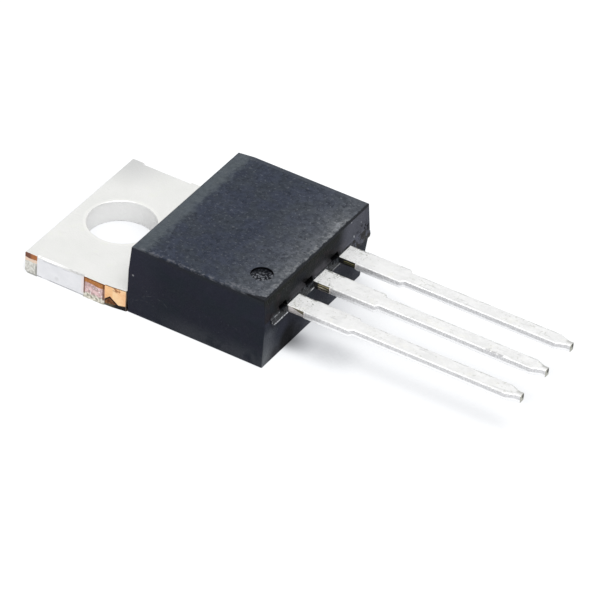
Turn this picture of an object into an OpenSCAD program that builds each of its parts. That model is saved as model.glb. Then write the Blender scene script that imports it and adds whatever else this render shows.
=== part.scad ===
// Three-lead power transistor package, lying on its metal back.
// +X runs along the leads, away from the tab. +Y runs across the leads. +Z is up.
// The origin is on the axis of the mounting hole, at the tab's back face.

/* [Heat tab] */
// Thickness of the heavy gauge that the tab is stamped from
tab_t = 1.32; // [1.25:0.01:1.35]
// Width over the plated side faces of the tab
tab_w = 10.16; // [10:0.02:10.2]
// Width over the sheared tie-bar stubs
stub_w = 10.24; // [10.22:0.02:10.3]
// Diameter of the mounting hole
hole_d = 3.76; // [3.5:0.01:3.9]
// From the hole's axis to the free end of the tab
hole_to_end = 2.68; // [2.5:0.01:2.95]
// From the hole's axis to the moulded body, at the tab's top face
hole_to_body = 3.58; // [3.5:0.01:3.7]

/* [Moulded body] */
// Length of the body at the leads' mid-plane, from the tab side to the lead side
body_l = 8.44; // [8.4:0.01:8.8]
// Width of the body at the leads' mid-plane
body_w = 10.34; // [10.3:0.02:10.5]
// Height of the body's flat top
body_h = 4.59; // [4.5:0.01:4.7]
// Draft of the long sides above the leads, in degrees
side_draft_high = 1; // [0.5:0.5:3]
// Draft of the long sides below the leads, in degrees
side_draft_low = 6; // [3:0.5:6]
// Draft of the lead side above the leads, in degrees
lead_draft_high = 5; // [4:0.5:8]
// Draft of the lead side below the leads, in degrees
lead_draft_low = 4.5; // [1:0.5:5]
// Diameter of the shallow round mark beside the first lead
mark_d = 1.2; // [1:0.01:1.6]

/* [Leads] */
// Spacing of the leads, centre to centre
lead_pitch = 2.54; // [2.5:0.01:2.58]
// Thickness of the thin gauge that the leads are stamped from
lead_t = 0.45; // [0.4:0.01:0.5]
// Height of the leads' mid-plane over the back face
lead_plane = 2.95; // [2.85:0.01:3.05]
// Length of a lead outside the body
lead_l = 13.58; // [12.5:0.01:14.5]
// Width of a lead between its shoulder and the body
lead_wide = 1.27; // [1.2:0.01:1.4]
// Width of a lead past its shoulder
lead_narrow = 0.86; // [0.7:0.01:0.9]

/* [Die and bonds] */
// Length of the silicon die, along X
die_l = 4.2; // [3.6:0.1:4.4]
// Width of the silicon die, along Y
die_w = 3.6; // [3:0.1:4.2]
// Thickness of the silicon die
die_t = 0.3; // [0.2:0.01:0.35]
// Diameter of a source bond wire
source_wire_d = 0.38; // [0.3:0.01:0.4]
// Diameter of the gate bond wire
gate_wire_d = 0.15; // [0.1:0.01:0.2]

/* [Hidden] */
$fn = 64;
EPS = 0.01;

// Plan stations of the tab, from its free end to the body
end_stub_x = -hole_to_end + 0.76;
mid_stub_x0 = 0.99;
mid_stub_x1 = 2.29;
neck_bend_x = mid_stub_x1 + 0.42;
neck_x1 = hole_to_body - 0.09;
neck_step_w = tab_w - 0.06;
neck_bend_w = tab_w - 0.1;
neck_w = tab_w - 0.32;
neck_root_w = tab_w - 0.9;
end_roll = 0.18;

// The pad is the part of the tab inside the body, with a flange that locks it in
pad_x0 = hole_to_body + 0.4;
pad_x1 = 10;
pad_w = 8.2;
flange_w = pad_w + 0.5;
flange_z = 0.6;
flange_over = 0.3;
groove_x = 4.4;
groove_depth = 0.22;

// Body stations
body_x0 = hole_to_body;
body_x1 = body_x0 + body_l;
body_top_x1 = body_x1 - (body_h - lead_plane) * tan(lead_draft_high);
body_base_x1 = body_x1 - lead_plane * tan(lead_draft_low);
body_top_w = body_w - 2 * (body_h - lead_plane) * tan(side_draft_high);
body_base_w = body_w - 2 * lead_plane * tan(side_draft_low);
tab_side_lean = 0.25;
bevel_l = 1.0;
bevel_drop = 0.12;
mark_depth = 0.16;
mark_x = body_x1 - 1.46;
mark_y = -3.28;

// Resin ridge that is left along the lead side, in the gap that the dam bar closed; a thin
// film of it reaches over the leads' roots, and its ends are broken at a slant
ridge_out = 0.17;
ridge_over = 0.04;
ridge_slope = 0.26;
ridge_y0 = -body_w / 2 + 0.5;
ridge_y1 = body_w / 2 - 0.16;
pit_w = 0.72;
pit_h = 0.34;
pit_depth = 0.24;

// Lead stations
lead_z = lead_plane - lead_t / 2;
lead_top = lead_plane + lead_t / 2;
root_w = lead_wide - 0.08;
dam_x = body_x1 + 1.05;
shoulder_x0 = body_x1 + 3.71;
shoulder_x1 = shoulder_x0 + 0.16;
tip_x = body_x1 + lead_l;
taper_x0 = tip_x - 0.8;
taper_x1 = tip_x - 0.25;
tip_w = 0.4;

// Inner ends of the leads, where the wires are bonded
post_x0 = 10.25;
post_x1 = 11.3;
post_y0 = 1.35;
source_post_y1 = 4.1;
gate_post_y1 = 3.7;
post_hole_d = 0.5;
post_hole_x = post_x1 - 0.45;

// The drain lead steps up from the pad to the plane of the other two
step_w = 1.6;
step_a = 75;
step_r = 0.5;
step_x0 = pad_x1 - 0.05;
step_z0 = tab_t - lead_t / 2;
step_rise = lead_plane - step_z0;
step_run = (step_rise - 2 * step_r * (1 - cos(step_a))) / sin(step_a);
step_x1 = step_x0 + 2 * step_r * sin(step_a) + step_run * cos(step_a);

// Die stack
solder_t = 0.06;
solder_over = 0.12;
die_x = 7;
die_z = tab_t + solder_t;
die_top = die_z + die_t;

BEND_STEPS = 10;

function mirrored(half) = concat(half, [for (i = [len(half) - 1 : -1 : 0]) [half[i].x, -half[i].y]]);
function arc(c, r, from_a, to_a) = [
    for (i = [0 : BEND_STEPS])
        let (a = from_a + (to_a - from_a) * i / BEND_STEPS)
            c + r * [cos(a), sin(a)]
];

// ---- lead frame ----

// Plan of the tab outside the body: end stub, plated flank, middle stub and neck
module tab_plan() {
    polygon(mirrored([
        [-hole_to_end, stub_w / 2],
        [end_stub_x, stub_w / 2],
        [end_stub_x, tab_w / 2],
        [mid_stub_x0, tab_w / 2],
        [mid_stub_x0, stub_w / 2],
        [mid_stub_x1, stub_w / 2],
        [mid_stub_x1, neck_step_w / 2],
        [neck_bend_x, neck_bend_w / 2],
        [neck_x1, neck_w / 2],
        [hole_to_body + 0.05, neck_root_w / 2],
        [pad_x0, pad_w / 2],
        [pad_x0 + EPS, pad_w / 2],
    ]));
}

// Pad in the body: a wide flange over a narrower back face, with a groove across the top
module pad() {
    difference() {
        union() {
            translate([pad_x0, -pad_w / 2, 0])
                cube([pad_x1 - flange_over - pad_x0, pad_w, tab_t]);
            translate([pad_x0, -flange_w / 2, flange_z])
                cube([pad_x1 - pad_x0, flange_w, tab_t - flange_z]);
        }
        translate([groove_x, 0, tab_t])
            rotate([0, 45, 0])
                cube([groove_depth * sqrt(2), flange_w + 1, groove_depth * sqrt(2)], center = true);
    }
}

// Plan of one lead from start_x to its tip, on its own centre line
module lead_plan(start_x) {
    polygon(mirrored([
        [start_x, root_w / 2],
        [dam_x, root_w / 2],
        [dam_x, lead_wide / 2],
        [shoulder_x0, lead_wide / 2],
        [shoulder_x1, lead_narrow / 2],
        [taper_x0, lead_narrow / 2],
        [taper_x1, tip_w / 2],
        [tip_x, tip_w / 2],
    ]));
}

module lead_strip(start_x) {
    translate([0, 0, lead_z])
        linear_extrude(height = lead_t)
            lead_plan(start_x);
}

// Side profile of the drain strip: flat in the pad, bent up, bent flat again at the lead plane
module step_profile() {
    half_t = lead_t / 2;
    low_c = [step_x0, step_z0 + step_r];
    high_c = [step_x1, lead_plane - step_r];
    polygon(concat(
        [[step_x0 - 0.5, step_z0 - half_t]],
        arc(low_c, step_r + half_t, -90, step_a - 90),
        arc(high_c, step_r - half_t, 90 + step_a, 90),
        [[post_x1 + 0.3, lead_plane - half_t], [post_x1 + 0.3, lead_plane + half_t]],
        arc(high_c, step_r + half_t, 90, 90 + step_a),
        arc(low_c, step_r - half_t, step_a - 90, -90),
        [[step_x0 - 0.5, step_z0 + half_t]]
    ));
}

// Drain strip from the pad to the root of the middle lead, where it narrows
module drain_step() {
    intersection() {
        rotate([90, 0, 0])
            linear_extrude(height = step_w, center = true)
                step_profile();
        linear_extrude(height = body_h)
            polygon(mirrored([
                [step_x0 - 1, step_w],
                [post_x1, step_w],
                [post_x1, step_w / 2],
                [post_x1 + 0.3, root_w / 2],
            ]));
    }
}

// Lower edge of the tab's free end, where the shear rolled it over
module end_roll_cut() {
    translate([-hole_to_end, 0, 0])
        rotate([90, 0, 0])
            linear_extrude(height = stub_w + 1, center = true)
                polygon([[-1, end_roll + 1], [end_roll + 1, -1], [-1, -1]]);
}

// One stamping: heavy tab, pad and middle lead
module heat_tab() {
    color("silver") {
        difference() {
            linear_extrude(height = tab_t)
                tab_plan();
            translate([0, 0, -1])
                cylinder(d = hole_d, h = tab_t + 2);
            end_roll_cut();
        }
        pad();
        drain_step();
        lead_strip(post_x1);
    }
}

// Bond post in the body, with its lock hole; y1 is its outer edge
module post(y1) {
    translate([0, 0, lead_z])
        linear_extrude(height = lead_t)
            difference() {
                polygon([
                    [post_x0, post_y0],
                    [post_x1, post_y0],
                    [post_x1 + 0.3, lead_pitch - root_w / 2],
                    [post_x1 + 0.3, lead_pitch + root_w / 2],
                    [post_x1, y1],
                    [post_x0, y1],
                ]);
                translate([post_hole_x, y1 - 0.5])
                    circle(d = post_hole_d);
            }
}

module source_lead() {
    color("silver") {
        translate([0, lead_pitch, 0])
            lead_strip(post_x1);
        post(source_post_y1);
    }
}

module gate_lead() {
    color("silver") {
        translate([0, -lead_pitch, 0])
            lead_strip(post_x1);
        mirror([0, 1, 0])
            post(gate_post_y1);
    }
}

// ---- die and wires ----

module slab(l, w, z, h) {
    translate([die_x - l / 2, -w / 2, z])
        cube([l, w, h]);
}

module die_solder() {
    color("gray")
        slab(die_l + 2 * solder_over, die_w + 2 * solder_over, tab_t, solder_t);
}

module silicon_die() {
    color("slategray")
        slab(die_l, die_w, die_z, die_t);
}

// Flattened foot where a wire of diameter d is pressed onto a face, pointing along a
module bond_foot(p, a, d) {
    translate(p)
        rotate([0, 0, a])
            linear_extrude(height = 0.6 * d)
                union() {
                    square([2 * d, 1.4 * d], center = true);
                    translate([-d, 0])
                        circle(d = 1.4 * d);
                    translate([d, 0])
                        circle(d = 1.4 * d);
                }
}

// Arched wire from a point on the die to a point on a post; rise_a sets the arch
module bond_wire(from, to, d, rise_a) {
    lift = 0.55 * d;
    flat = norm([to.x - from.x, to.y - from.y]);
    chord = norm(to - from);
    heading = atan2(to.y - from.y, to.x - from.x);
    slope = atan2(to.z - from.z, flat);
    arc_r = chord / (2 * sin(rise_a));
    bond_foot(from, heading, d);
    bond_foot(to, heading, d);
    translate(from + [0, 0, lift])
        rotate([0, -slope, heading])
            translate([chord / 2, 0, -arc_r * cos(rise_a)])
                rotate([90, 0, 0])
                    rotate([0, 0, 90 - rise_a])
                        rotate_extrude(angle = 2 * rise_a)
                            translate([arc_r, 0])
                                circle(d = d, $fn = 24);
}

module gate_wire() {
    color("gainsboro")
        bond_wire([8.5, -1.2, die_top], [10.65, -2.3, lead_top], gate_wire_d, 50);
}

module source_wire_1() {
    color("gainsboro")
        bond_wire([7.7, 0.2, die_top], [10.8, 2.15, lead_top], source_wire_d, 40);
}

module source_wire_2() {
    color("gainsboro")
        bond_wire([6.7, 1.1, die_top], [10.8, 2.95, lead_top], source_wire_d, 40);
}

// ---- moulded body ----

// Profile seen from the side: leaning tab side, bevelled top, drafted lead side
module body_side() {
    rotate([90, 0, 0])
        linear_extrude(height = body_w + 1, center = true)
            polygon([
                [body_x0, 0],
                [body_x0, tab_t],
                [body_x0 + tab_side_lean, body_h - bevel_drop],
                [body_x0 + tab_side_lean + bevel_l, body_h],
                [body_top_x1, body_h],
                [body_x1, lead_plane],
                [body_base_x1, 0],
            ]);
}

// Profile seen along the leads: widest at the parting line
module body_end() {
    rotate([90, 0, 90])
        linear_extrude(height = body_x1 + 1)
            polygon([
                [-body_base_w / 2, 0],
                [body_base_w / 2, 0],
                [body_w / 2, lead_plane],
                [body_top_w / 2, body_h],
                [-body_top_w / 2, body_h],
                [-body_w / 2, lead_plane],
            ]);
}

// Cross section of the ridge: its top slopes down from the body's face
module ridge_section() {
    top = lead_t / 2 + ridge_over;
    rotate([90, 0, 0])
        linear_extrude(height = body_w, center = true)
            polygon([
                [-0.3, top + ridge_slope],
                [-0.05, top + ridge_slope],
                [0.4 * ridge_out, top],
                [ridge_out, -lead_t / 2],
                [-0.3, -lead_t / 2],
            ]);
}

// Outline of the ridge seen along the leads, with its slanted ends
module ridge_outline() {
    top = lead_t / 2 + ridge_over + ridge_slope;
    low = -lead_t / 2;
    rotate([90, 0, 90])
        linear_extrude(height = 2, center = true)
            polygon([
                [ridge_y0, low + 0.2],
                [ridge_y0 + 0.2, low - EPS],
                [ridge_y1 - 0.12, low - EPS],
                [ridge_y1, low + 0.12],
                [ridge_y1, low + 0.3],
                [ridge_y1 - 0.45, top + EPS],
                [ridge_y0 + 0.3, top + EPS],
                [ridge_y0, low + 0.45],
            ]);
}

module dam_ridge() {
    translate([body_x1, 0, lead_plane])
        intersection() {
            ridge_section();
            ridge_outline();
        }
}

module root_pit(y) {
    translate([body_x1 - pit_depth, y - root_w / 2 - pit_w, lead_top - 0.05])
        cube([pit_depth + 1, pit_w, pit_h]);
}

module package_body() {
    color([0.1, 0.1, 0.11])
        difference() {
            union() {
                intersection() {
                    body_side();
                    body_end();
                }
                dam_ridge();
            }
            translate([mark_x, mark_y, body_h - mark_depth])
                cylinder(d = mark_d, h = 1);
            for (y = [-lead_pitch, 0, lead_pitch])
                root_pit(y);
            heat_tab();
            gate_lead();
            source_lead();
            silicon_die();
            die_solder();
            gate_wire();
            source_wire_1();
            source_wire_2();
        }
}

heat_tab();
gate_lead();
source_lead();
silicon_die();
die_solder();
gate_wire();
source_wire_1();
source_wire_2();
package_body();
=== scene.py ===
import math

import bmesh
import bpy
from mathutils import Matrix, Vector


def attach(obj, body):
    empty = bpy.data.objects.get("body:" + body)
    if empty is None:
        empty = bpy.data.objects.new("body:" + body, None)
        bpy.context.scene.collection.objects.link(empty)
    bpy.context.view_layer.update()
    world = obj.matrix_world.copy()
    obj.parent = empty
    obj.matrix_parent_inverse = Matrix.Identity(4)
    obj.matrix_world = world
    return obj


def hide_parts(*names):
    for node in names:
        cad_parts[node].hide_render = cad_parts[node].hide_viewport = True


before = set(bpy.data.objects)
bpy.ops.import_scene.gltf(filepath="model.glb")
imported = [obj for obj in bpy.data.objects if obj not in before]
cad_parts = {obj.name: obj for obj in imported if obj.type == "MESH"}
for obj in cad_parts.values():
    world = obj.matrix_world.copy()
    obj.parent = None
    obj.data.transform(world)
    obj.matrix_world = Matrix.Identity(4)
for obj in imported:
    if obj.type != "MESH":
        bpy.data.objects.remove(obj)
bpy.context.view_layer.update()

MM = 0.001

# Stations that the finishes and the softened edges refer to, in millimetres
TAB_TOP = 1.32
TAB_END_X = -2.68
FLANK_Y = 5.08
STUB_Y = 5.12
END_STUB_X = -1.92
MID_STUB_X0 = 0.99
MID_STUB_X1 = 2.29
NECK_END_X = 3.49
NECK_START_Y = 5.04
NECK_END_Y = 4.91
NECK_HIDDEN_X = 4.2
HOLE_R = 1.88
BODY_X0 = 3.58
BODY_X1 = 12.02
BODY_TOP = 4.59
BODY_TOP_Y = 5.14
BODY_BASE_Y = 4.855
BEVEL_X = 4.83
WORN_X = 11.83
RIDGE_X = 12.035
RIDGE_BASE = 2.725
RIDGE_Y0 = -4.67
LEAD_PITCH = 2.54
LEAD_TOP = 3.175
LEAD_BASE = 2.725
LEAD_PLANE = 2.95
BREAK_Z = 2.92
FINISH_CHANGE_X = 11.5
DAM_X = 13.07
SHOULDER_X = 15.73
SHOULDER_LENGTH = 0.16
DENT_X0 = 22.2
DENT_X1 = 23.25
TAPER_X = 24.8
TAPER_LENGTH = 0.55
TAPER_IN = 0.23
TIP_X = 25.6
WIDE_HALF = 0.635
NARROW_HALF = 0.43
MARK = (10.56, -3.28)
MARK_R = 0.6
MARK_DARKENS = (-0.5, 0.87)
PIT_X = 11.6
PIT_Y = 4.6
PIT_Z0 = 3.1
PIT_Z1 = 3.5

# How far below a top face its own finish still reaches, in millimetres
SKIN = 0.035

# Slopes of the moulding's lead side above and below the lead plane
DRAFT_ABOVE = 0.0875
DRAFT_BELOW = 0.0787

# Rounded edges: each edge's weight is its own width as a share of the first value, and a corner
# this close to a station lies on it, both in millimetres
EDGE_WIDTH = 0.2
TOUCH = 0.01

# Corners this close are one, in millimetres; faces that turn by less than FLAT are joined, and
# edges that turn by more than ROUNDED get a width. Of the others, the drafts' shallow folds,
# between the last two values, stay crisp.
MERGED = 0.0005
FLAT = math.radians(0.6)
ROUNDED = math.radians(20)
FOLD_LEAST = math.radians(2)
FOLD_MOST = math.radians(10)

# Colours that several finishes share
WHITE = (1.0, 1.0, 1.0)
PIT_BLACK = (0.0015, 0.0015, 0.002)
ROOT_BLACK = (0.004, 0.004, 0.004)

# Floor: its sizes and the reaches of its two shadings are in metres
FLOOR_HALF = 1.5
FLOOR_DROP = 0.00001
FLOOR_GREY = (0.19, 0.19, 0.19)
FLOOR_OPEN = (0.975, 0.985, 1.0)
FLOOR_SHADED = (0.90, 0.93, 1.0)
FLOOR_GLOW = 0.93
MIRRORED_GLOW = 0.95
SHADE_REACH = 0.004
SHADE_LEAN = (0.4, -0.03, 1)
CONTACT_REACH = 0.0016

# Light: a surround that lights dimly, and one square softbox, in metres and watts
FILL_STRENGTH = 0.3
KEY_PLACE = (0.12, -0.097, 0.28)
KEY_AIM = (0.012, 0, 0)
KEY_SIZE = 0.10
KEY_POWER = 0.83

# Camera: angles in degrees, lengths in millimetres, focal length in image pixels
VIEW_AZIMUTH = 29.485
VIEW_ELEVATION = 37.137
VIEW_ROLL = 3.791
VIEW_TARGET = (11.630, -1.067, 2.0)
VIEW_DISTANCE = 271.809
FOCAL_PIXELS = 5281.59
IMAGE_WIDTH = 600
SENSOR_WIDTH = 36


# ---- node sheets ----

class Sheet:
    """Short ways to lay out the nodes of one material or group."""

    def __init__(self, tree):
        self.tree = tree

    def add(self, kind, values=None, **settings):
        node = self.tree.nodes.new(kind)
        for name, value in settings.items():
            setattr(node, name, value)
        for key, value in (values or {}).items():
            self.feed(node.inputs[key], value)
        return node

    def feed(self, socket, value):
        if isinstance(value, bpy.types.NodeSocket):
            self.tree.links.new(value, socket)
        elif socket.type == "RGBA" and len(value) == 3:
            socket.default_value = (*value, 1)
        else:
            socket.default_value = value

    def math(self, operation, a, b=0.0, clamp=False):
        node = self.add("ShaderNodeMath", {0: a, 1: b}, operation=operation, use_clamp=clamp)
        return node.outputs[0]

    def product(self, *factors):
        out = factors[0]
        for factor in factors[1:]:
            out = self.math("MULTIPLY", out, factor)
        return out

    def total(self, *terms):
        out = terms[0]
        for term in terms[1:]:
            out = self.math("ADD", out, term)
        return out

    def ramp(self, value, low, high, to_low=0.0, to_high=1.0):
        node = self.add("ShaderNodeMapRange", {0: value, 1: low, 2: high, 3: to_low, 4: to_high})
        node.interpolation_type = "SMOOTHSTEP"
        return node.outputs[0]

    def above(self, value, edge, soft=0.02):
        return self.ramp(value, edge - soft / 2, edge + soft / 2)

    def below(self, value, edge, soft=0.02):
        return self.ramp(value, edge - soft / 2, edge + soft / 2, 1.0, 0.0)

    def band(self, value, low, high, soft=0.02):
        return self.product(self.above(value, low, soft), self.below(value, high, soft))

    def inverse(self, mask):
        return self.math("SUBTRACT", 1.0, mask)

    def mix(self, mask, a, b):
        node = self.add("ShaderNodeMix", data_type="RGBA")
        self.feed(node.inputs[0], mask)
        self.feed(node.inputs[6], a)
        self.feed(node.inputs[7], b)
        return node.outputs[2]

    def blend(self, mask, a, b):
        node = self.add("ShaderNodeMix", data_type="FLOAT")
        self.feed(node.inputs[0], mask)
        self.feed(node.inputs[2], a)
        self.feed(node.inputs[3], b)
        return node.outputs[0]

    def split(self, point):
        parts = self.add("ShaderNodeSeparateXYZ", {0: point}).outputs
        return parts[0], parts[1], parts[2]

    def join(self, x, y, z):
        return self.add("ShaderNodeCombineXYZ", {0: x, 1: y, 2: z}).outputs[0]

    def vector(self, operation, a, b):
        return self.add("ShaderNodeVectorMath", {0: a, 1: b}, operation=operation).outputs[0]

    def moved(self, point, shift):
        """The point shifted, so that a second grain doesn't repeat the first."""
        return self.vector("ADD", point, shift)

    def distance(self, point, centre, stretch=(1, 1, 1)):
        away = self.vector("MULTIPLY", self.vector("SUBTRACT", point, centre), stretch)
        return self.add("ShaderNodeVectorMath", {0: away}, operation="LENGTH").outputs["Value"]

    def most(self, *masks):
        out = masks[0]
        for mask in masks[1:]:
            out = self.math("MAXIMUM", out, mask)
        return out

    def group(self, tree, values):
        node = self.add("ShaderNodeGroup")
        node.node_tree = tree
        for key, value in values.items():
            self.feed(node.inputs[key], value)
        return node

    def grain(self, point, size, low=0.35, high=0.65):
        values = {"Point": point, "Size": size, "Low": low, "High": high}
        return self.group(GRAIN, values).outputs[0]

    def streaks(self, point, amount):
        return self.group(STREAKS, {"Point": point, "Amount": amount}).outputs[0]


def millimetres(sheet):
    """Object coordinates in millimetres, and their three parts."""
    place = sheet.add("ShaderNodeTexCoord").outputs["Object"]
    scaled = sheet.add("ShaderNodeVectorMath", {0: place}, operation="SCALE")
    scaled.inputs["Scale"].default_value = 1 / MM
    point = scaled.outputs[0]
    return (point, *sheet.split(point))


def new_group(name, inputs, outputs):
    tree = bpy.data.node_groups.new(name, "ShaderNodeTree")
    for label, kind, value in inputs:
        socket = tree.interface.new_socket(label, in_out="INPUT", socket_type=kind)
        socket.default_value = value
    for label, kind in outputs:
        tree.interface.new_socket(label, in_out="OUTPUT", socket_type=kind)
    sheet = Sheet(tree)
    return tree, sheet, sheet.add("NodeGroupInput").outputs, sheet.add("NodeGroupOutput").inputs


def make_grain_group():
    """Cloudy grain of a given size, from 0 to 1, with its contrast raised about the middle."""
    tree, s, given, out = new_group("Grain", [
        ("Point", "NodeSocketVector", (0, 0, 0)),
        ("Size", "NodeSocketFloat", 0.2),
        ("Low", "NodeSocketFloat", 0.35),
        ("High", "NodeSocketFloat", 0.65),
    ], [("Value", "NodeSocketFloat")])
    noise = s.add("ShaderNodeTexNoise", {
        "Vector": given["Point"],
        "Scale": s.math("DIVIDE", 1.0, given["Size"]),
        "Detail": 2.5,
        "Roughness": 0.6,
    })
    s.feed(out["Value"], s.ramp(noise.outputs["Fac"], given["Low"], given["High"]))
    return tree


def make_streak_group():
    """Fine broken lines that run mostly along X, as rolling and handling leave them."""
    tree, s, given, out = new_group("Streaks", [
        ("Point", "NodeSocketVector", (0, 0, 0)),
        ("Amount", "NodeSocketFloat", 1.0),
    ], [("Mask", "NodeSocketFloat")])
    stretched = s.vector("MULTIPLY", given["Point"], (0.5, 6, 6))
    lines = s.add("ShaderNodeTexNoise", {"Vector": stretched, "Scale": 1.6, "Detail": 3.0})
    gaps = s.add("ShaderNodeTexNoise", {"Vector": given["Point"], "Scale": 0.9, "Detail": 1.0})
    line = s.ramp(lines.outputs["Fac"], 0.58, 0.68)
    gap = s.ramp(gaps.outputs["Fac"], 0.45, 0.6)
    s.feed(out["Mask"], s.product(line, gap, given["Amount"]))
    return tree


GRAIN = make_grain_group()
STREAKS = make_streak_group()


def make_lead_group():
    """Tin on the thin gauge: mottled top with a painted highlight along its near edge, sheared
    sides, and bare stained metal at the roots, with painted shade where they enter the moulding.
    """
    tree, s, given, out = new_group("Lead finish", [
        ("Point", "NodeSocketVector", (0, 0, 0)),
    ], [
        ("Color", "NodeSocketColor"),
        ("Metal", "NodeSocketFloat"),
        ("Rough", "NodeSocketFloat"),
        ("Height", "NodeSocketFloat"),
    ])
    point = given["Point"]
    x, y, z = s.split(point)
    row = s.math("ROUND", s.math("DIVIDE", y, LEAD_PITCH))
    across = s.math("SUBTRACT", y, s.math("MULTIPLY", row, LEAD_PITCH))
    half = s.ramp(x, SHOULDER_X, SHOULDER_X + SHOULDER_LENGTH, WIDE_HALF, NARROW_HALF)
    half = s.math("SUBTRACT", half, s.ramp(x, TAPER_X, TAPER_X + TAPER_LENGTH, 0.0, TAPER_IN))
    near = s.math("ADD", half, across)
    far = s.math("SUBTRACT", half, across)
    fine = s.grain(point, 0.12)
    top = s.above(z, LEAD_TOP - SKIN, 0.02)

    clouds = s.grain(point, 0.7, 0.3, 0.7)
    colour = s.mix(clouds, (0.795, 0.797, 0.795), (0.872, 0.873, 0.87))
    colour = s.mix(s.streaks(point, 0.55), colour, (0.55, 0.56, 0.57))
    dull = s.product(s.grain(point, 0.17, 0.56, 0.66), s.grain(point, 1.1, 0.45, 0.6))
    colour = s.mix(s.product(dull, 0.45), colour, (0.52, 0.53, 0.48))
    warm = s.product(s.grain(point, 0.5, 0.52, 0.66), s.below(near, 0.5, 0.4))
    colour = s.mix(s.product(warm, 0.3), colour, (0.90, 0.89, 0.81))
    # Pale specks along the near top edge: painted highlight of its rounded edge
    near_edge_highlight = s.product(s.grain(point, 0.16, 0.42, 0.56), s.below(near, 0.07, 0.04))
    colour = s.mix(near_edge_highlight, colour, WHITE)
    far_line = s.product(s.below(far, 0.12, 0.06), s.grain(point, 0.7, 0.47, 0.58),
                         s.grain(point, 0.16, 0.3, 0.5))
    colour = s.mix(s.product(far_line, 0.5), colour, (0.45, 0.46, 0.45))

    # Stains left at the roots: clustered specks, short scrawled lines and a dark far edge
    root = s.below(x, DAM_X + 0.2, 0.4)
    cluster = s.grain(point, 0.5, 0.46, 0.58)
    wander = s.add("ShaderNodeTexNoise", {"Vector": point, "Scale": 3.4, "Detail": 2.0})
    outline = s.product(s.band(wander.outputs["Fac"], 0.48, 0.52, 0.02), cluster)
    colour = s.mix(s.product(outline, root, 0.45), colour, (0.26, 0.27, 0.24))
    specks = s.product(s.grain(point, 0.10, 0.58, 0.66), s.blend(cluster, 0.35, 1.0))
    colour = s.mix(s.product(specks, root, 0.7), colour, (0.22, 0.24, 0.20))
    white_specks = s.grain(s.moved(point, (15, 0, 0)), 0.11, 0.60, 0.68)
    colour = s.mix(s.product(white_specks, root, 0.8), colour, WHITE)
    dark_edge = s.product(s.below(far, 0.15, 0.1), s.band(x, BODY_X1 + 0.18, DAM_X + 0.18, 0.3),
                          s.grain(point, 0.16, 0.38, 0.52))
    colour = s.mix(s.product(dark_edge, 0.8), colour, (0.14, 0.15, 0.13))

    # Sheared sides: a grey ropy burnish over a paler break
    rope = s.grain(s.vector("MULTIPLY", point, (1.6, 1, 1)), 0.13, 0.3, 0.7)
    side = s.mix(rope, (0.64, 0.64, 0.65), (0.84, 0.84, 0.85))
    low_break = s.product(s.below(z, BREAK_Z, 0.06), s.inverse(top))
    side = s.mix(low_break, side, (0.98, 0.98, 0.985))
    # A pale line where the wide part begins: painted highlight of its rounded corner
    side = s.mix(s.band(x, DAM_X - 0.01, DAM_X + 0.09, 0.03), side, (0.96, 0.93, 0.92))

    # Root sides, where the resin was broken away: pale, gold and black from one lead to the next
    bare = s.below(x, DAM_X - 0.01, 0.02)
    first = s.below(y, -LEAD_PITCH / 2)
    last = s.above(y, LEAD_PITCH / 2)
    jitter = s.math("ADD", z, s.product(s.grain(point, 0.25), 0.03))
    gilt = s.mix(s.below(jitter, 2.80, 0.03), (0.02, 0.018, 0.011), (0.60, 0.54, 0.50))
    gilt = s.mix(s.band(jitter, 2.87, 2.94, 0.02), gilt, (0.50, 0.46, 0.34))
    gilt = s.mix(s.band(jitter, 3.03, 3.09, 0.02), gilt, (0.26, 0.225, 0.12))
    olive = s.above(s.math("ADD", jitter, s.ramp(x, 12.3, 13.0, -0.12, 0.05)), 3.03, 0.04)
    pale = s.mix(olive, (0.90, 0.85, 0.84), (0.20, 0.18, 0.12))
    black = s.mix(s.band(jitter, 2.90, 2.94, 0.02), (0.010, 0.009, 0.008), (0.12, 0.11, 0.05))
    black = s.mix(s.band(jitter, 3.00, 3.05, 0.02), black, (0.24, 0.22, 0.10))
    root_side = s.mix(last, s.mix(first, gilt, pale), black)
    # Painted shade: the root sides turn black where they run into the moulding
    pit_shaded_root = s.most(s.below(x, BODY_X1 + 0.12, 0.1),
                    s.product(s.inverse(first), s.below(x, BODY_X1 + 0.36, 0.12)))
    root_side = s.mix(pit_shaded_root, root_side, ROOT_BLACK)
    side = s.mix(bare, side, root_side)
    colour = s.mix(s.inverse(top), colour, side)
    # Painted shade: black along the near top edge where the lead runs into the moulding
    root_edge_shade = s.product(s.below(x, BODY_X1 + 0.06, 0.1), s.below(near, 0.12, 0.06))
    colour = s.mix(root_edge_shade, colour, ROOT_BLACK)

    # A dent in the near edge of the middle lead, drawn as painted shade, with a painted glint at
    # its end
    middle = s.product(s.band(row, -0.5, 0.5), top)
    dent = s.product(middle, s.band(x, DENT_X0, DENT_X1, 0.15), s.below(near, 0.09, 0.05),
                     s.grain(point, 0.2, 0.3, 0.5))
    colour = s.mix(s.product(dent, 0.7), colour, (0.34, 0.34, 0.35))
    glint = s.product(middle, s.band(x, DENT_X1, DENT_X1 + 0.25, 0.08), s.below(near, 0.14, 0.06))
    colour = s.mix(glint, colour, WHITE)

    # Cut tip: a pale end with a dark upper middle, and a darker corner on the top
    darker_top_corner = s.product(s.above(x, TIP_X - 0.36, 0.2), s.above(across, 0.0, 0.16), top)
    colour = s.mix(s.product(darker_top_corner, 0.6), colour, (0.36, 0.36, 0.34))
    end_spot = s.distance(s.join(0.0, across, z), (0, 0.07, 3.03), (0, 1, 0.8))
    end_face = s.mix(s.below(end_spot, 0.10, 0.08), (0.46, 0.46, 0.41), (0.022, 0.021, 0.016))
    colour = s.mix(s.above(x, TIP_X - 0.015, 0.005), colour, end_face)

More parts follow.
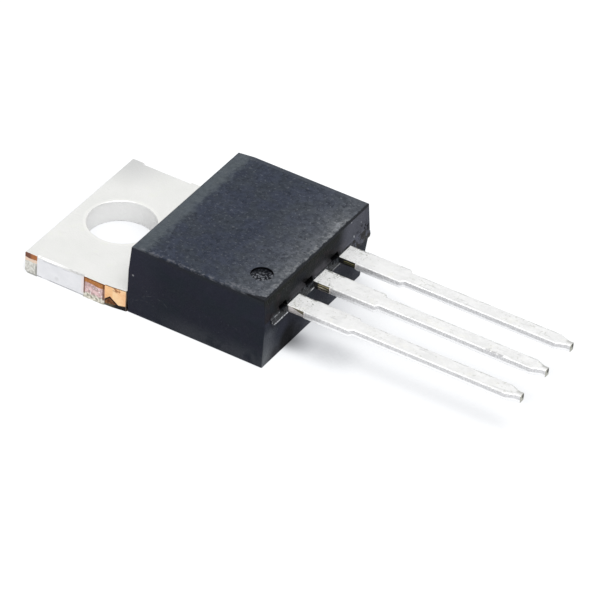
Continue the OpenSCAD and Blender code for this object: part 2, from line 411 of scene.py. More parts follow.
    s.feed(out["Color"], colour)
    tinned = s.ramp(x, DAM_X, DAM_X + 1.6, 0.15, 0.7)
    s.feed(out["Metal"], s.blend(s.product(low_break, s.above(x, DAM_X)), tinned, 1.0))
    s.feed(out["Rough"], s.ramp(fine, 0, 1, 0.42, 0.52))
    s.feed(out["Height"], s.total(s.product(fine, 0.5), s.product(near_edge_highlight, 0.8), clouds))
    return tree


LEAD_FINISH = make_lead_group()


def new_material(name, **shader_values):
    material = bpy.data.materials.new(name)
    material.use_nodes = True
    sheet = Sheet(material.node_tree)
    shader = material.node_tree.nodes["Principled BSDF"]
    for key, value in shader_values.items():
        sheet.feed(shader.inputs[key.replace("_", " ")], value)
    return material, sheet, shader


def bump(sheet, shader, height, distance):
    """Raise the shader's surface by the given height; the distance is in millimetres."""
    values = {"Height": height, "Strength": 1.0, "Distance": distance * MM}
    sheet.feed(shader.inputs["Normal"], sheet.add("ShaderNodeBump", values).outputs[0])


# ---- finishes ----

def moulding_top(s, point, x, y):
    """Colour of the moulding's top: speckled, with a painted sheen towards the lead side and
    painted shade where it rounds over at the lead side and the near corner.
    """
    clouds = s.grain(point, 1.6, 0.3, 0.7)
    slow = s.grain(point, 2.6, 0.3, 0.65)
    speckle = s.grain(point, 0.25, 0.38, 0.62)
    pale_grains = s.grain(point, 0.17, 0.58, 0.68)
    dark_grains = s.grain(s.moved(point, (40, 0, 0)), 0.18, 0.58, 0.68)
    colour = s.mix(clouds, (0.042, 0.050, 0.073), (0.051, 0.060, 0.086))
    tint = s.grain(s.moved(point, (9, 0, 0)), 1.1, 0.42, 0.6)
    colour = s.mix(s.product(tint, 0.5), colour, (0.052, 0.061, 0.070))
    # Painted sheen: paler patches and a paler stretch towards the lead side, standing for a
    # highlight
    patches = s.blend(s.grain(point, 0.8, 0.35, 0.65), 0.55, 1.0)
    strong = s.product(s.ramp(x, 10.4, 11.9, 0.0, 0.6), patches)
    painted_sheen = s.total(s.ramp(x, 8.0, 11.4, 0.0, 0.4), strong)
    painted_sheen = s.product(painted_sheen, s.blend(slow, 0.6, 1.0), s.ramp(y, 2.6, 5.4, 1.0, 0.8))
    colour = s.mix(painted_sheen, colour, (0.172, 0.183, 0.197))
    colour = s.mix(s.product(speckle, s.blend(painted_sheen, 0.34, 0.5)), colour, (0.012, 0.015, 0.021))
    colour = s.mix(s.product(pale_grains, s.blend(painted_sheen, 0.22, 0.65)), colour, (0.26, 0.27, 0.29))
    colour = s.mix(s.product(dark_grains, 0.5), colour, (0.010, 0.012, 0.018))

    ragged = s.math("ADD", x, s.product(s.grain(point, 0.5, 0.3, 0.7), 0.3))
    bevel = s.product(s.below(ragged, BEVEL_X + 0.05, 0.6), s.blend(speckle, 1.0, 0.8))
    bevel = s.product(bevel, s.ramp(y, -5.2, -2.8, 0.52, 0.62))
    colour = s.mix(bevel, colour, (0.130, 0.150, 0.162))
    rim = s.product(s.band(x, WORN_X - 0.28, WORN_X, 0.12), s.grain(point, 0.18, 0.48, 0.6),
                    s.below(y, 3.4, 1.0))
    colour = s.mix(s.product(rim, 0.45), colour, (0.30, 0.31, 0.32))
    # A painted highlight near the far end of the lead-side edge
    sheen_spot = s.below(s.distance(point, (11.62, 2.5, 0), (1.8, 1, 0)), 0.45, 0.4)
    sheen_spot = s.product(sheen_spot, s.grain(point, 0.2, 0.48, 0.62))
    colour = s.mix(s.product(sheen_spot, 0.36), colour, (0.40, 0.42, 0.46))
    near_rim = s.product(s.below(y, 0.16 - BODY_TOP_Y, 0.2), s.grain(point, 0.2, 0.48, 0.6))
    near_rim = s.most(near_rim, s.product(s.band(y, -5.02, -4.72, 0.16), s.band(x, 9.6, 11.2, 0.5),
                                          s.grain(point, 0.2, 0.45, 0.56)))
    colour = s.mix(s.product(near_rim, 0.5), colour, (0.20, 0.205, 0.23))
    colour = s.mix(s.product(s.above(y, BODY_TOP_Y - 0.3, 0.1), 0.35), colour, (0.10, 0.11, 0.125))
    # Painted shade: dark where the top rounds over at the lead side and the near corner
    ragged_edge = s.product(s.grain(point, 0.3, 0.3, 0.7), 0.08)
    rounded_edge_shade = s.above(s.math("ADD", x, ragged_edge), WORN_X, 0.06)
    corner = s.total(y, ragged_edge, s.ramp(x, 10.6, 11.9, 0.0, -0.3))
    return s.mix(s.most(rounded_edge_shade, s.below(corner, -BODY_TOP_Y, 0.06)), colour, (0.020, 0.022, 0.026))


def moulding_mark(s, point, x, y, z, colour):
    """The shallow round mark: a rough paler floor, with its wall painted black and its far half
    darkened, both painted shade.
    """
    radius = s.distance(point, (*MARK, BODY_TOP), (1, 1, 0))
    inside = s.product(s.below(radius, MARK_R + 0.02, 0.01), s.below(z, BODY_TOP - SKIN, 0.01),
                       s.above(z, BODY_TOP - 0.25))
    past_centre = s.total(s.product(s.math("SUBTRACT", x, MARK[0]), MARK_DARKENS[0]),
                          s.product(s.math("SUBTRACT", y, MARK[1]), MARK_DARKENS[1]))
    rough = s.grain(point, 0.13, 0.46, 0.62)
    floor = s.mix(rough, (0.006, 0.007, 0.010), (0.17, 0.18, 0.20))
    # Painted shade: the far half of the floor darkened, and the wall black
    far_shade = s.above(past_centre, 0.26, 0.3)
    floor = s.mix(s.product(far_shade, 0.85), floor, (0.003, 0.004, 0.006))
    wall = s.above(radius, MARK_R - 0.02, 0.01)
    floor = s.mix(wall, floor, (0.001, 0.001, 0.002))
    return s.mix(inside, colour, floor)


def moulding_near_side(s, point, x, z, colour):
    """Light handling marks on the long side: an arc of scratches and a few pale specks."""
    radius = s.distance(point, (5.3, -5, 0.75), (1, 0, 1))
    arc = s.product(s.band(radius, 1.00, 1.06, 0.04), s.above(z, 1.45, 0.1),
                    s.grain(point, 0.3, 0.42, 0.5))
    low_radius = s.distance(point, (4.75, -5, 0.2), (1, 0, 1))
    low_arc = s.product(s.band(low_radius, 1.03, 1.08, 0.04), s.above(z, 0.95, 0.1),
                        s.below(x, 5.3, 0.2), s.grain(point, 0.25, 0.45, 0.55))
    specks = s.product(s.grain(point, 0.16, 0.66, 0.72), s.below(z, 2.6, 1.0))
    colour = s.mix(s.product(s.most(arc, low_arc, specks), 0.42), colour, (0.13, 0.14, 0.16))
    speck = s.below(s.distance(point, (4.0, -5, 2.72), (1, 0, 1)), 0.06, 0.04)
    return s.mix(speck, colour, (0.45, 0.46, 0.50))


def moulding_lead_side(s, point, y, z, colour):
    """The face round the leads: darker over the roots, partly stains and partly painted shade, with
    the first lead's painted shadow below it, and painted light making it paler at both ends.
    """
    upper = s.above(z, 3.1, 0.2)
    lower = s.inverse(upper)
    stains = s.grain(point, 0.9, 0.4, 0.62)
    # Darker over the roots, darkest towards the top: partly stains and partly painted shade
    shade_and_stain_roots = s.product(upper, s.band(y, -5.3, 2.9, 1.2))
    stained = s.product(shade_and_stain_roots, s.blend(stains, 0.85, 0.6))
    colour = s.mix(stained, colour, (0.012, 0.0135, 0.011))
    blush = s.product(shade_and_stain_roots, s.grain(s.moved(point, (0, 7, 0)), 0.6, 0.5, 0.62))
    colour = s.mix(s.product(blush, 0.5), colour, (0.034, 0.026, 0.030))
    colour = s.mix(s.product(shade_and_stain_roots, s.above(z, 4.15, 0.5), 0.6), colour, (0.011, 0.013, 0.010))
    strip = s.product(s.band(z, 3.1, 3.65, 0.3), s.band(y, -2.6, 3.2, 0.8),
                      s.blend(stains, 0.4, 0.9))
    colour = s.mix(strip, colour, (0.068, 0.066, 0.074))
    # Painted light: the far end of the face paler
    painted_far_light = s.product(s.above(y, 2.6, 1.5), s.above(z, 2.6, 0.4), s.blend(stains, 0.8, 1.0))
    colour = s.mix(s.product(painted_far_light, s.ramp(y, 4.2, 5.1, 1.0, 0.7)), colour, (0.112, 0.117, 0.142))
    for place, size in (((0, 3.55, 3.45), 0.055), ((0, 3.36, 4.40), 0.04), ((0, 4.3, 3.9), 0.035)):
        speck = s.below(s.distance(point, place, (0, 1, 1)), size, size)
        colour = s.mix(s.product(speck, 0.8), colour, (0.50, 0.52, 0.56))

    # Painted shade of hollows over the near edge of each lead, slanting up and away from it, black
    # and fading out around it
    slant = 0.62
    for centre, length in ((-3.44, 0.55), (-1.02, 0.85), (1.52, 0.85)):
        left, rise = s.math("SUBTRACT", y, centre), s.math("SUBTRACT", z, 3.37)
        along = s.math("SUBTRACT", left, s.product(rise, slant))
        across = s.math("ADD", rise, s.product(left, slant))
        hollow = s.distance(s.join(along, across, 0.0), (0, 0, 0), (1 / length, 4.6, 0))
        halo_shade = s.product(s.below(hollow, 1.7, 1.4), s.above(z, 3.1, 0.1), 0.45)
        hollow_shade = s.product(s.below(hollow, 0.95, 0.5), s.above(z, 2.95, 0.1), 0.97)
        colour = s.mix(s.most(hollow_shade, halo_shade), colour, PIT_BLACK)
    chips = s.product(s.band(y, -5.2, -2.6, 0.6), s.band(z, 3.9, 4.5, 0.3),
                      s.grain(point, 0.11, 0.60, 0.68))
    colour = s.mix(s.product(chips, 0.5), colour, (0.13, 0.14, 0.14))
    spots = s.product(s.band(y, 3.9, 5.2, 0.5), s.band(z, 3.1, 3.75, 0.4),
                      s.grain(point, 0.28, 0.5, 0.6))
    colour = s.mix(spots, colour, (0.004, 0.004, 0.006))
    # Painted light: the low near corner paler, where the lamp falls
    corner = s.product(lower, s.below(y, -4.1, 1.1), s.below(z, 2.35, 0.9))
    pale = s.mix(s.below(z, 1.1, 1.6), (0.106, 0.116, 0.138), (0.190, 0.202, 0.222))
    colour = s.mix(corner, colour, pale)
    specks = s.product(lower, s.below(y, -2.5, 0.6), s.grain(point, 0.12, 0.60, 0.68))
    colour = s.mix(s.product(specks, 0.6), colour, (0.012, 0.014, 0.018))
    # Painted shadow of the first lead on the face below it, with a dark strip low down
    black = s.below(s.distance(point, (0, -2.55, 0.45), (0, 1.0, 0.75)), 0.8, 0.7)
    low_shadow_strip = s.product(s.below(z, 0.7, 0.6), s.band(y, -4.2, -1.2, 1.0), 0.6)
    under = s.product(lower, s.most(black, low_shadow_strip))
    return s.mix(s.product(under, 0.95), colour, (0.002, 0.002, 0.003))


def moulding_ridge(s, point, x, y, z, colour):
    """The ridge of broken resin: dark and mottled, framed by painted highlights along its edges."""
    ridge = s.product(s.above(x, RIDGE_X, 0.02), s.band(z, 2.6, 3.3))
    mottled = s.mix(s.grain(point, 0.16, 0.4, 0.62), (0.003, 0.004, 0.005), (0.050, 0.054, 0.062))
    mottled = s.mix(s.product(s.grain(point, 0.12, 0.62, 0.7), 0.8), mottled, (0.22, 0.23, 0.25))
    lumps = s.mix(s.grain(point, 0.42, 0.44, 0.56), (0.002, 0.002, 0.003), (0.080, 0.086, 0.118))
    mottled = s.mix(s.above(y, 3.2, 0.4), mottled, lumps)
    colour = s.mix(ridge, colour, mottled)
    # Painted highlights along the ridge's low edge, top edge and end, shown on some spans only
    low_edge_highlight = s.below(z, RIDGE_BASE + 0.10, 0.05)
    top_edge_highlight = s.product(s.band(z, LEAD_TOP - SKIN, LEAD_TOP + 0.025, 0.02),
                         s.grain(point, 0.3, 0.35, 0.55), 0.45)
    end_edge_highlight = s.product(s.below(y, RIDGE_Y0 + 0.05, 0.03), s.grain(point, 0.14, 0.4, 0.6), 0.45)
    first_span = s.below(y, -3.2, 0.1)
    second_span = s.product(s.band(y, -0.95, 0.0, 0.2), 0.8)
    third_span = s.product(s.band(y, 1.2, 2.1, 0.2), 0.3)
    shown = s.most(first_span, second_span, third_span)
    edges = s.product(s.most(low_edge_highlight, top_edge_highlight, end_edge_highlight), shown, s.grain(point, 0.16, 0.28, 0.45))
    colour = s.mix(s.product(ridge, edges), colour, (0.66, 0.68, 0.72))
    return colour, ridge


def make_moulding():
    """Dark epoxy moulding: speckled on top, smoother on its sides, glossy where the resin broke."""
    material, s, shader = new_material("moulding_compound", Specular_IOR_Level=0.05,
                                       Coat_Roughness=0.25)
    point, x, y, z = millimetres(s)
    clouds = s.grain(point, 1.8, 0.3, 0.7)
    top = s.ramp(z, BODY_TOP - 0.15, BODY_TOP - 0.1)
    faint = s.grain(point, 0.3, 0.3, 0.7)
    side = s.mix(clouds, (0.029, 0.031, 0.048), (0.037, 0.040, 0.059))
    side = s.mix(s.product(faint, 0.12), side, (0.008, 0.010, 0.016))
    side = s.mix(s.product(s.grain(point, 1.5, 0.44, 0.58), 0.5), side, (0.027, 0.037, 0.047))
    side = s.mix(s.product(s.above(z, 4.3, 0.4), 0.4), side, (0.043, 0.047, 0.046))
    side = s.mix(s.product(s.below(x, 5.3, 1.6), 0.4), side, (0.060, 0.060, 0.090))
    # Lighter towards the bottom, towards the lead end
    lighter_low_side = s.product(s.below(z, 0.9, 1.2), s.above(x, 6.0, 3.0), s.grain(point, 1.2, 0.3, 0.5))
    side = s.mix(s.product(lighter_low_side, 0.75), side, (0.084, 0.090, 0.108))
    side = moulding_near_side(s, point, x, z, side)
    lean_in = s.most(s.product(s.math("SUBTRACT", z, LEAD_PLANE), DRAFT_ABOVE),
                     s.product(s.math("SUBTRACT", LEAD_PLANE, z), DRAFT_BELOW))
    lead_side = s.above(s.math("ADD", x, lean_in), BODY_X1 - 0.03, 0.015)
    face = moulding_lead_side(s, point, y, z, side)
    face, ridge = moulding_ridge(s, point, x, y, z, face)
    colour = s.mix(lead_side, side, face)
    colour = s.mix(top, colour, moulding_top(s, point, x, y))
    colour = moulding_mark(s, point, x, y, z, colour)
    # Painted shade: black inside the hollows round the lead roots
    shaded_pits = s.product(s.band(z, PIT_Z0, PIT_Z1), s.above(x, PIT_X), s.band(y, -PIT_Y, PIT_Y),
                        s.inverse(lead_side))
    colour = s.mix(shaded_pits, colour, PIT_BLACK)
    s.feed(shader.inputs["Base Color"], colour)
    s.feed(shader.inputs["Roughness"], s.ramp(clouds, 0, 1, 0.5, 0.62))
    s.feed(shader.inputs["Coat Weight"], s.product(ridge, 0.3))
    pits = s.grain(point, 0.09, 0.3, 0.7)
    lumps = s.grain(point, 0.22, 0.3, 0.7)
    bump(s, shader, s.total(pits, s.product(lumps, ridge, 4.0)), 0.015)
    return material


def tab_stub(s, point, x, z, fine):
    """Sheared face of a stub: burnished copper over the smeared, part-plated break."""
    jagged = s.math("ADD", z, s.product(s.grain(point, 0.3, 0.3, 0.7), 0.1))
    copper = s.mix(fine, (0.40, 0.155, 0.045), (0.57, 0.25, 0.08))
    smear = s.mix(s.grain(point, 0.2, 0.35, 0.65), (0.50, 0.35, 0.34), (0.86, 0.62, 0.62))
    smear = s.mix(s.grain(point, 0.15, 0.56, 0.64), smear, (0.95, 0.93, 0.90))
    drab = s.mix(s.grain(point, 0.16, 0.38, 0.6), (0.34, 0.33, 0.26), (0.86, 0.82, 0.72))
    face = s.mix(s.below(jagged, 0.42, 0.12), smear, drab)
    face = s.mix(s.above(jagged, 1.05, 0.06), face, copper)
    # Dark lines at its two ends and along its top; the one at its right end is painted shade beside
    # the step
    dark_lines = s.most(s.band(x, MID_STUB_X0, MID_STUB_X0 + 0.1, 0.04),
                        s.above(x, MID_STUB_X1 - 0.13, 0.06))
    dark_lines = s.most(s.product(dark_lines, s.above(z, 0.28, 0.2)),
                        s.above(z, TAB_TOP - 0.06, 0.02))
    return s.mix(s.product(dark_lines, 0.8), face, (0.14, 0.045, 0.012))


def tab_end_stub(s, point, x, z):
    """Sheared face of the stub at the tab's end: dark copper over a grey break."""
    jagged = s.math("ADD", z, s.product(s.grain(point, 0.3, 0.3, 0.7), 0.06))
    drab = s.mix(s.grain(point, 0.16, 0.35, 0.65), (0.60, 0.59, 0.54), (0.84, 0.83, 0.78))
    copper = s.mix(s.above(x, -2.3, 0.2), (0.20, 0.085, 0.055), (0.42, 0.16, 0.06))
    face = s.mix(s.band(jagged, 0.85, 1.05, 0.08), drab, (0.86, 0.66, 0.52))
    face = s.mix(s.above(jagged, 1.05, 0.05), face, copper)
    # Painted shade: a dark line beside the step at its right end, and along its foot
    step_and_foot_shade = s.product(s.above(x, END_STUB_X - 0.1, 0.06), s.below(z, 0.75, 0.3))
    step_and_foot_shade = s.most(step_and_foot_shade, s.product(s.below(z, 0.12, 0.06), 0.8))
    return s.mix(s.product(step_and_foot_shade, 0.7), face, (0.24, 0.24, 0.22))


def tab_neck(s, point, x, z):
    """Peach copper of the neck, with its dark tooth, a dark band below its top, painted shade along
    its foot, and painted shade where it meets the body and along its top edge.
    """
    face = s.mix(s.grain(point, 0.4), (0.93, 0.57, 0.31), (1.0, 0.70, 0.41))
    under_edge = s.product(s.above(z, TAB_TOP - 0.3, 0.2), s.above(x, 2.75, 0.2),
                           s.grain(point, 0.25, 0.5, 0.6))
    face = s.mix(s.product(under_edge, 0.8), face, (0.30, 0.10, 0.03))
    face = s.mix(s.product(s.below(x, MID_STUB_X1 + 0.44, 0.04), 0.5), face, (0.90, 0.50, 0.22))
    from_tooth = s.math("ABSOLUTE", s.math("SUBTRACT", x, 2.58))
    depth = s.math("SUBTRACT", s.math("SUBTRACT", 0.62, s.product(from_tooth, 0.85)), z)
    brown = s.mix(s.grain(point, 0.2, 0.4, 0.6), (0.09, 0.028, 0.006), (0.26, 0.11, 0.04))
    face = s.mix(s.above(depth, 0.0, 0.06), face, brown)
    face = s.mix(s.band(depth, -0.05, 0.07, 0.03), face, (0.030, 0.010, 0.003))
    # Painted shade along the foot
    foot_shade = s.math("SUBTRACT", s.math("ADD", 0.14, s.product(s.math("SUBTRACT", x, 2.3), 0.14)), z)
    shade = s.mix(s.above(x, 2.8, 0.3), (0.10, 0.09, 0.06), (0.010, 0.008, 0.008))
    face = s.mix(s.above(foot_shade, 0.0, 0.05), face, shade)
    # Painted shade where the neck meets the body, and a dark line along its top edge
    joint_shade = s.most(s.above(x, NECK_END_X - 0.02, 0.03), s.above(z, TAB_TOP - 0.05, 0.02))
    return s.mix(s.product(joint_shade, 0.85), face, (0.05, 0.022, 0.008))


def tab_plated(s, point, x, side, z):
    """Tin of the tab: pale top, darker towards the far corner, painted highlights and painted shade
    along its edges, and a hole wall and rim painted pale as painted light.
    """
    clouds = s.grain(point, 1.7, 0.25, 0.75)
    colour = s.mix(clouds, (0.795, 0.80, 0.78), (0.835, 0.835, 0.82))
    green = s.grain(point, 0.9, 0.56, 0.7)
    colour = s.mix(s.product(green, 0.3), colour, (0.82, 0.84, 0.76))
    corner = s.ramp(s.distance(point, (TAB_END_X, FLANK_Y, TAB_TOP)), 0.2, 3.2, 1.0, 0.0)
    colour = s.mix(s.product(corner, 0.95), colour, (0.62, 0.625, 0.62))
    colour = s.mix(s.streaks(point, 0.12), colour, (0.6, 0.6, 0.6))

    radius = s.distance(point, (0, 0, 0), (1, 1, 0))
    # A painted highlight on the rounded rim of the hole
    rim = s.product(s.band(radius, HOLE_R + 0.04, HOLE_R + 0.2, 0.08),
                    s.above(z, TAB_TOP - 0.05, 0.02))
    colour = s.mix(s.product(rim, 0.35), colour, (0.93, 0.93, 0.90))
    # The hole wall painted pale: painted light
    wall = s.product(s.below(radius, HOLE_R + 0.012, 0.01), s.below(z, TAB_TOP - SKIN, 0.01))
    colour = s.mix(wall, colour, (1.0, 1.0, 0.99))

    flank = s.product(s.above(side, FLANK_Y - 0.012, 0.005), s.below(z, TAB_TOP - 0.11, 0.02))
    face = s.mix(s.grain(point, 0.8, 0.3, 0.7), (0.82, 0.825, 0.845), (0.88, 0.88, 0.90))
    # Painted shade along the rounding below the top edge
    edge_shade_line = s.product(s.band(z, TAB_TOP - 0.19, TAB_TOP - 0.13, 0.03), s.below(x, 0.2, 0.6),
                       s.grain(point, 0.5, 0.35, 0.5))
    face = s.mix(s.product(edge_shade_line, 0.5), face, (0.52, 0.52, 0.54))
    # Painted shade along the foot
    foot_shade = s.product(s.below(z, 0.09, 0.05), s.grain(point, 0.6, 0.3, 0.5))
    face = s.mix(s.product(foot_shade, 0.8), face, (0.36, 0.36, 0.38))
    smudge = s.below(s.distance(point, (-0.7, -5, 0.37), (1, 0, 1)), 0.12, 0.14)
    face = s.mix(s.product(smudge, 0.25), face, (0.45, 0.45, 0.45))
    # A pinkish band beside the middle stub: painted highlight
    blush = s.product(s.band(x, 0.84, 0.98, 0.08), s.above(z, 0.2, 0.2))
    face = s.mix(s.product(blush, 0.6), face, (0.92, 0.78, 0.76))
    colour = s.mix(flank, colour, face)
    # Painted highlight along the flank's rounded top edge
    top_edge_highlight = s.product(s.above(side, FLANK_Y - 0.09, 0.02), s.above(z, TAB_TOP - 0.06, 0.02),
                         s.band(x, END_STUB_X, MID_STUB_X0 + 0.1, 0.1),
                         s.grain(point, 0.35, 0.3, 0.5))
    colour = s.mix(top_edge_highlight, colour, WHITE)
    return colour, wall


def make_tab_plating():
    """Matt tin on the heavy gauge, with bare copper on the sheared stubs and the neck."""
    material, s, shader = new_material("tab_plating")
    point, x, y, z = millimetres(s)
    side = s.math("ABSOLUTE", y)
    fine = s.grain(point, 0.12)
    colour, wall = tab_plated(s, point, x, side, z)
    stub_face = s.above(side, STUB_Y - 0.015, 0.005)
    end_stub = s.product(stub_face, s.below(x, END_STUB_X))
    mid_stub = s.product(stub_face, s.above(x, END_STUB_X))
    tapered = {0: x, 1: MID_STUB_X1, 2: NECK_END_X, 3: NECK_START_Y, 4: NECK_END_Y}
    neck_line = s.add("ShaderNodeMapRange", tapered).outputs[0]
    under_top = s.below(z, TAB_TOP - 0.005, 0.01)
    neck = s.product(s.band(x, MID_STUB_X1, NECK_HIDDEN_X),
                     s.above(s.math("SUBTRACT", side, neck_line), 0.0, 0.01), under_top)
    neck = s.most(neck, s.product(s.band(x, NECK_END_X + 0.003, NECK_HIDDEN_X, 0.004), under_top))
    colour = s.mix(end_stub, colour, tab_end_stub(s, point, x, z))
    colour = s.mix(mid_stub, colour, tab_stub(s, point, x, z, fine))
    colour = s.mix(neck, colour, tab_neck(s, point, x, z))

    lead = s.group(LEAD_FINISH, {"Point": point}).outputs
    on_lead = s.above(x, FINISH_CHANGE_X)
    s.feed(shader.inputs["Base Color"], s.mix(on_lead, colour, lead["Color"]))
    metal = s.blend(wall, 0.8, 0.4)
    s.feed(shader.inputs["Metallic"], s.blend(on_lead, metal, lead["Metal"]))
    rough = s.ramp(fine, 0, 1, 0.4, 0.5)
    s.feed(shader.inputs["Roughness"], s.blend(on_lead, rough, lead["Rough"]))
    bump(s, shader, s.blend(on_lead, fine, lead["Height"]), 0.004)
    return material


def make_lead_plating():
    """The lead finish by itself, for the gate and source strips."""
    material, s, shader = new_material("lead_plating")
    point = millimetres(s)[0]
    lead = s.group(LEAD_FINISH, {"Point": point}).outputs
    s.feed(shader.inputs["Base Color"], lead["Color"])
    s.feed(shader.inputs["Metallic"], lead["Metal"])
    s.feed(shader.inputs["Roughness"], lead["Rough"])
    bump(s, shader, lead["Height"], 0.004)
    return material


def make_plain(name, colour, metallic, roughness, size):
    """Finish of a sealed inner piece: one metal or silicon with a fine grain."""
    material, s, shader = new_material(name, Metallic=metallic)
    point = millimetres(s)[0]
    fine = s.grain(point, size)
    darker = tuple(0.85 * part for part in colour)
    s.feed(shader.inputs["Base Color"], s.mix(fine, darker, colour))
    s.feed(shader.inputs["Roughness"], s.ramp(fine, 0, 1, roughness, roughness + 0.1))
    bump(s, shader, fine, 0.002)
    return material


# ---- pieces ----

def merged_copy(node):
    """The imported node's own mesh, with its loose triangles merged and its flat faces joined."""
    bm = bmesh.new()
    bm.from_mesh(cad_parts[node].data)
    bmesh.ops.remove_doubles(bm, verts=bm.verts, dist=MERGED * MM)
    bmesh.ops.dissolve_limit(bm, angle_limit=FLAT, verts=bm.verts, edges=bm.edges)
    return bm


def softened(name, node, material, width_of, segments=3):
    """A rounded copy of a node; width_of gives each sharp edge's width in millimetres."""
    bm = merged_copy(node)
    weight = bm.edges.layers.float.new("bevel_weight_edge")
    for face in bm.faces:
        face.smooth = True
    for edge in bm.edges:
        if len(edge.link_faces) != 2:
            continue
        angle = abs(edge.calc_face_angle(0))
        if angle < ROUNDED:
            edge.smooth = angle < FOLD_LEAST or angle > FOLD_MOST
            continue
        a, b = (v.co / MM for v in edge.verts)
        width = width_of(a, b)
        edge[weight] = width / EDGE_WIDTH
        edge.smooth = width > 0
    mesh = bpy.data.meshes.new(name)
    bm.to_mesh(mesh)
    bm.free()
    piece = bpy.data.objects.new(name, mesh)
    bpy.context.scene.collection.objects.link(piece)
    mesh.materials.append(material)
    rounding = piece.modifiers.new("Rounding", "BEVEL")
    rounding.width = EDGE_WIDTH * MM
    rounding.limit_method = "WEIGHT"
    rounding.segments = segments
    rounding.use_clamp_overlap = False
    shading = piece.modifiers.new("Flat faces", "WEIGHTED_NORMAL")
    shading.mode = "FACE_AREA"
    shading.weight = 100
    shading.keep_sharp = True
    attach(piece, "root")
    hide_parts(node)


def both(test, a, b):
    """Whether both corners of an edge pass a test."""
    return test(a) and test(b)


def body_edges(a, b):
    """Widths of the moulding's rounded edges; edges inside it and round the leads stay sharp."""
    if both(lambda p: p.z > BODY_TOP - 0.2, a, b):
        near_mark = both(lambda p: math.hypot(p.x - MARK[0], p.y - MARK[1]) < MARK_R + 0.2, a, b)
        return 0.03 if near_mark else 0.06
    outer = both(lambda p: abs(p.y) > BODY_BASE_Y - TOUCH, a, b)
    if outer and abs(a.z - b.z) > 0.5:
        return 0.05
    if both(lambda p: p.z < TOUCH, a, b) and (outer or both(lambda p: p.x > PIT_X, a, b)):
        return 0.06
    if both(lambda p: p.x > BODY_X1 + TOUCH, a, b):
        return 0.03
    return 0.0


def lead_edges(a, b):
    """Widths of a lead's edges: widest along the bottom, narrowest round the cut tip."""
    if both(lambda p: p.x > TIP_X - TOUCH, a, b):
        return 0.03
    if both(lambda p: p.z > LEAD_TOP - TOUCH, a, b):
        return 0.06
    if both(lambda p: p.z < LEAD_BASE + TOUCH, a, b):
        return 0.1
    return 0.05


def tab_edges(a, b):
    """Widths of the tab's edges and of its lead's; the sheared stubs stay crisp."""
    if both(lambda p: p.x > BODY_X1 - 0.2, a, b):
        return lead_edges(a, b)
    if not both(lambda p: p.x < BODY_X0 + TOUCH, a, b):
        return 0.0
    if both(lambda p: math.hypot(p.x, p.y) < HOLE_R + 0.12, a, b):
        return 0.06 if a.z > 1 else 0.04
    on_end = both(lambda p: p.x < TAB_END_X + TOUCH, a, b)
    on_flank = both(lambda p: abs(abs(p.y) - FLANK_Y) < TOUCH, a, b) and abs(a.x - b.x) > 0.5
    if both(lambda p: p.z > TAB_TOP - TOUCH, a, b):
        return 0.12 if on_flank else 0.08 if on_end else 0.02
    if both(lambda p: p.z < TOUCH, a, b):
        return 0.06 if on_flank else 0.15 if on_end else 0.03
    return 0.04 if on_end else 0.02


def build_pieces():
    """Dress every CAD piece: rounded copies outside, and plain finishes on the sealed ones."""
    moulding = make_moulding()
    tab_plating = make_tab_plating()
    lead_plating = make_lead_plating()
    softened("moulded_body", "package_body", moulding, body_edges, 4)
    softened("tab_and_drain_lead", "heat_tab", tab_plating, tab_edges)
    softened("gate_lead_strip", "gate_lead", lead_plating, lead_edges)
    softened("source_lead_strip", "source_lead", lead_plating, lead_edges)
    inner = {
        "silicon_die": make_plain("die_metal", (0.42, 0.43, 0.47), 0.8, 0.35, 0.3),
        "die_solder": make_plain("solder_fillet", (0.5, 0.5, 0.5), 1.0, 0.4, 0.2),
    }
    wire = make_plain("bond_wire_metal", (0.8, 0.8, 0.8), 1.0, 0.3, 0.15)
    for name in ("gate_wire", "source_wire_1", "source_wire_2"):
        inner[name] = wire
    for name, material in inner.items():
        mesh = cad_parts[name].data
        mesh.materials.clear()
        mesh.materials.append(material)


# ---- floor, light and camera ----

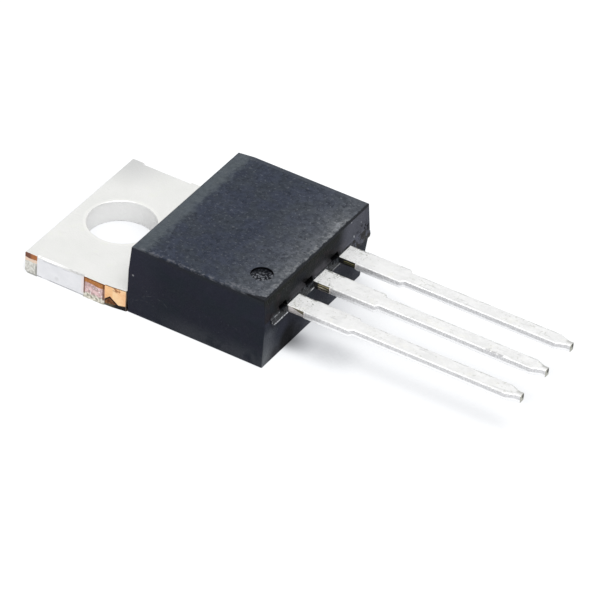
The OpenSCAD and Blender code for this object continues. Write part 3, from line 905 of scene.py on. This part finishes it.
def make_floor():
    """Pale floor that stays white to the eye and keeps the object's shadow."""
    bm = bmesh.new()
    bmesh.ops.create_grid(bm, x_segments=1, y_segments=1, size=FLOOR_HALF)
    mesh = bpy.data.meshes.new("floor")
    bm.to_mesh(mesh)
    bm.free()
    floor = bpy.data.objects.new("floor", mesh)
    bpy.context.scene.collection.objects.link(floor)
    floor.location.z = -FLOOR_DROP
    material, s, shader = new_material("floor_white", Roughness=1.0, Specular_IOR_Level=0.0)
    s.feed(shader.inputs["Base Color"], FLOOR_GREY)
    _, x, y, _ = millimetres(s)

    # Shade of all that stands over the floor: faint along the near side, deeper under the leads
    leaning = s.join(*Vector(SHADE_LEAN).normalized())
    nearby = s.add("ShaderNodeAmbientOcclusion", {"Distance": SHADE_REACH, "Normal": leaning},
                   samples=8).outputs["AO"]
    beside = s.blend(s.ramp(x, 12.5, 15.0), s.ramp(y, -4.0, -2.0, 0.35, 1.0), 1.0)
    weight = s.product(s.ramp(x, 9.0, 13.0, 0.25, 0.55), beside)
    lead_shadow = s.product(s.band(x, 13.1, 15.4, 1.4), s.band(y, -2.8, -0.8, 1.0))
    open_sky = s.math("POWER", nearby, s.math("ADD", weight, s.product(lead_shadow, 0.55)))

    # Darker line where the moulding meets the floor under the leads
    touching = s.add("ShaderNodeAmbientOcclusion", {"Distance": CONTACT_REACH},
                     samples=8).outputs["AO"]
    nook = s.product(s.above(x, 11.6, 0.4), s.ramp(y, -3.2, -2.2), s.ramp(y, -2.0, -0.7, 1.0, 0.2))
    open_sky = s.product(open_sky, s.blend(nook, 1.0, s.math("POWER", touching, 1.8)))

    # The glow reaches the camera, mirrors and glass only, so it adds no soft light to the part
    path = s.add("ShaderNodeLightPath").outputs
    mirrored = s.math("ADD", path["Is Glossy Ray"], path["Is Transmission Ray"], clamp=True)
    seen = s.math("ADD", path["Is Camera Ray"], s.product(mirrored, MIRRORED_GLOW), clamp=True)
    s.feed(shader.inputs["Emission Color"], s.mix(open_sky, FLOOR_SHADED, FLOOR_OPEN))
    s.feed(shader.inputs["Emission Strength"], s.product(seen, open_sky, FLOOR_GLOW))
    mesh.materials.append(material)


def make_softbox():
    """Square softbox, aimed at the part."""
    data = bpy.data.lights.new("key_softbox", "AREA")
    data.shape = "SQUARE"
    data.size = KEY_SIZE
    data.energy = KEY_POWER
    lamp = bpy.data.objects.new("key_softbox", data)
    lamp.location = KEY_PLACE
    towards = Vector(KEY_AIM) - Vector(KEY_PLACE)
    lamp.rotation_euler = towards.to_track_quat("-Z", "Y").to_euler()
    bpy.context.scene.collection.objects.link(lamp)


def make_surround():
    """Plain white surround: full white to the camera, mirrors and glass, dim as a light."""
    world = bpy.data.worlds.new("studio")
    bpy.context.scene.world = world
    world.use_nodes = True
    s = Sheet(world.node_tree)
    background = world.node_tree.nodes["Background"]
    path = s.add("ShaderNodeLightPath").outputs
    seen = s.math("ADD", path["Is Camera Ray"], path["Is Glossy Ray"], clamp=True)
    seen = s.math("ADD", seen, path["Is Transmission Ray"], clamp=True)
    s.feed(background.inputs["Color"], WHITE)
    s.feed(background.inputs["Strength"], s.blend(seen, FILL_STRENGTH, 1.0))


def make_camera():
    """Camera that looks back along the view's azimuth and elevation, rolled about its own axis."""
    azimuth = math.radians(VIEW_AZIMUTH)
    elevation = math.radians(VIEW_ELEVATION)
    roll = math.radians(VIEW_ROLL)
    back = Vector((math.sin(azimuth) * math.cos(elevation),
                   -math.cos(azimuth) * math.cos(elevation),
                   math.sin(elevation)))
    level = Vector((math.cos(azimuth), math.sin(azimuth), 0))
    above = back.cross(level)
    right = level * math.cos(roll) + above * math.sin(roll)
    up = above * math.cos(roll) - level * math.sin(roll)
    place = (Vector(VIEW_TARGET) + back * VIEW_DISTANCE) * MM
    data = bpy.data.cameras.new("camera")
    data.sensor_width = SENSOR_WIDTH
    data.lens = FOCAL_PIXELS * SENSOR_WIDTH / IMAGE_WIDTH
    data.clip_start = 0.01
    data.clip_end = 20
    camera = bpy.data.objects.new("camera", data)
    bpy.context.scene.collection.objects.link(camera)
    turn = Matrix((right, up, back)).transposed().to_4x4()
    camera.matrix_world = Matrix.Translation(place) @ turn
    bpy.context.scene.camera = camera


build_pieces()
make_floor()
make_surround()
make_softbox()
make_camera()
bpy.context.scene.view_settings.view_transform = "Standard"
